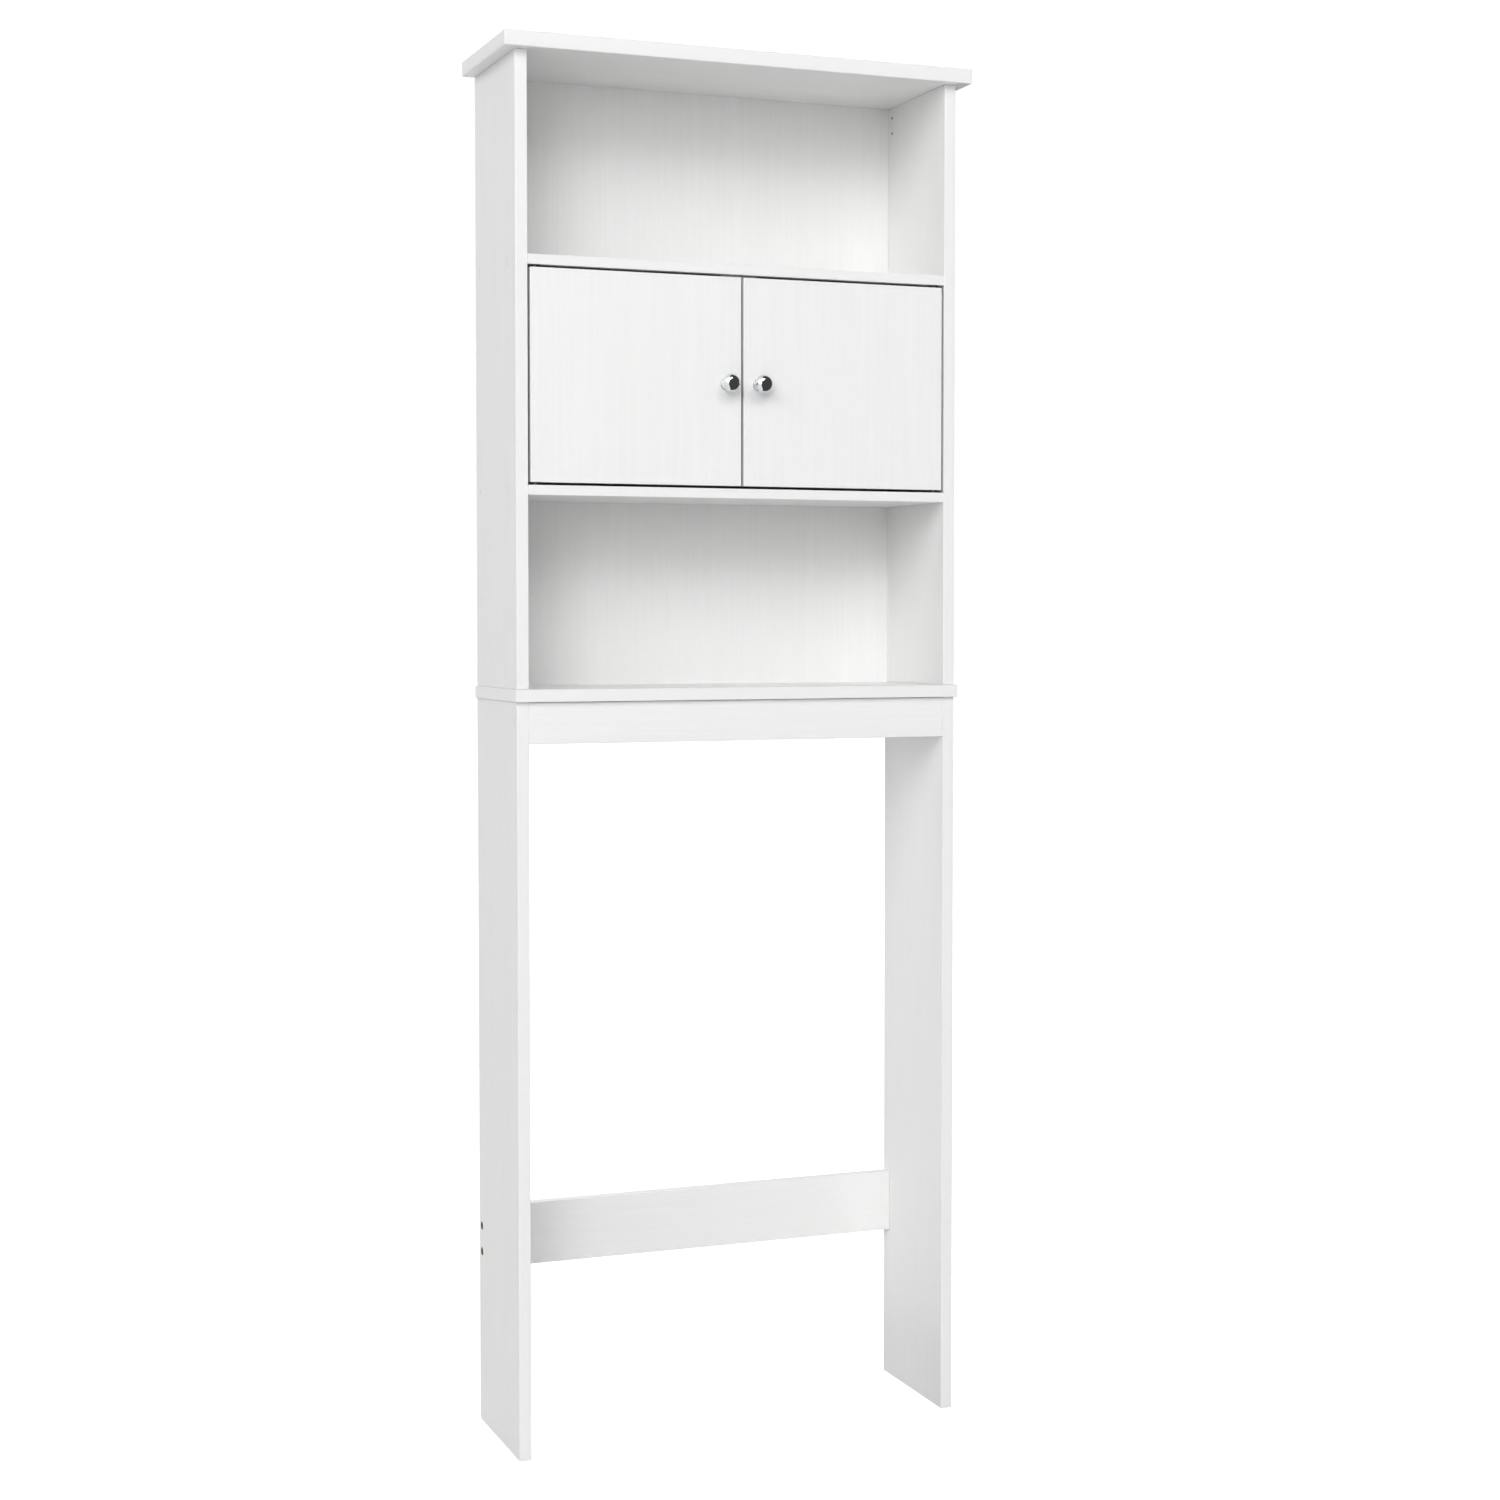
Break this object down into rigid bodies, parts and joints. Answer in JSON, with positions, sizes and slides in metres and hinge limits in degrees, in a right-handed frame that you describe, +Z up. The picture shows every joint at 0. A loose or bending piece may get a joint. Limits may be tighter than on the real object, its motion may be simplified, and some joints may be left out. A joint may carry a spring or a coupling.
{
  "type": "over-the-toilet storage rack",
  "caption": "Tall white rack that stands over a toilet: open legs with a low rear rail, an open bay, a cabinet with a pair of inset doors and round knobs, and an open bay under a wide top.",
  "frame": {"origin": "on the floor, at the middle of the footprint of the whole rack, knobs and overhangs included", "axes": "+Z up; +X to the right of someone facing the doors; +Y from the doors to the wall, so the doors face -Y"},
  "size_m": [0.6, 0.201, 1.68],
  "materials": {
    "white_board": "satin white laminate with a faint fine grain",
    "white_hardboard": "satin white coated hardboard with a faint fine grain",
    "chrome": "polished",
    "zinc_steel": "bright zinc plated",
    "blacked_steel": "turned, blacked and oiled",
    "zinc_cast": "die-cast zinc, tumbled",
    "white_plastic": "moulded, fine satin",
    "black_plastic": "moulded acetal, fine satin",
    "beech": "turned, raw, fluted",
    "ferrite": "pressed ferrite, dark grey"
  },
  "bodies": {
    "root": {"top_board": "white_board", "left_side": "white_board", "right_side": "white_board", "upper_shelf": "white_board", "lower_shelf": "white_board", "deck_board": "white_board", "back_panel": "white_hardboard", "left_leg": "white_board", "right_leg": "white_board", "apron": "white_board", "lower_rail": "white_board", "pivot_bushes": "black_plastic", "catch_housing": "white_plastic", "catch_magnets": "ferrite", "catch_pole_plates": "zinc_steel", "catch_screws": "zinc_steel", "shelf_screws": "zinc_steel", "shelf_screw_caps": "white_plastic", "top_screws": "zinc_steel", "top_screw_caps": "white_plastic", "apron_screws": "zinc_steel", "apron_screw_caps": "white_plastic", "apron_dowels": "beech", "rail_screws": "zinc_steel", "deck_screws": "zinc_steel", "top_dowels": "beech", "deck_dowels": "beech", "leg_dowels": "beech", "leg_cam_bolts": "zinc_steel", "leg_cams": "zinc_cast"},
    "left_door": {"left_door": "white_board", "left_knob": "chrome", "left_knob_screw": "zinc_steel", "left_door_pins": "blacked_steel", "left_strike_plate": "zinc_steel", "left_strike_screw": "zinc_steel"},
    "right_door": {"right_door": "white_board", "right_knob": "chrome", "right_knob_screw": "zinc_steel", "right_door_pins": "blacked_steel", "right_strike_plate": "zinc_steel", "right_strike_screw": "zinc_steel"}
  },
  "joints": [
    {"name": "left_door_hinge", "type": "hinge", "parent": "root", "child": "left_door", "pos_m": [-0.258, -0.0695, 1.2855], "axis": [0, 0, -1], "range_deg": [0, 120]},
    {"name": "right_door_hinge", "type": "hinge", "parent": "root", "child": "right_door", "pos_m": [0.258, -0.0695, 1.2855], "axis": [0, 0, 1], "range_deg": [0, 120]}
  ]
}
